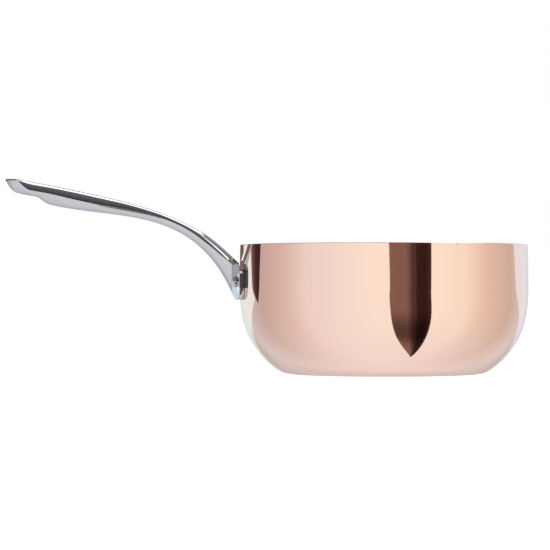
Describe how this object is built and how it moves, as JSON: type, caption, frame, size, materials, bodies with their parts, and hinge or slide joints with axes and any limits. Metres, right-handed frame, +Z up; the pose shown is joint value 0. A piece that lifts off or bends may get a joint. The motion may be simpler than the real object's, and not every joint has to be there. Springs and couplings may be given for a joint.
{
  "type": "saute pan",
  "caption": "Round-sided saute pan with a polished copper outside, aluminium core and steel lining, and a long curved cast steel handle riveted to its wall.",
  "frame": {"origin": "centre of the pan's flat underside", "axes": "+Z up along the bowl's axis, -X along the handle, away from the bowl"},
  "size_m": [0.4494, 0.248, 0.1671],
  "materials": {
    "copper": "polished copper",
    "core": "plain, seen only at the rim",
    "lining": "satin, brushed round the axis",
    "cast_steel": "polished casting",
    "rivet": "polished"
  },
  "bodies": {
    "root": {"copper_body": "copper", "aluminium_core": "core", "steel_lining": "lining", "handle": "cast_steel", "front_rivet": "rivet", "back_rivet": "rivet"}
  },
  "joints": []
}
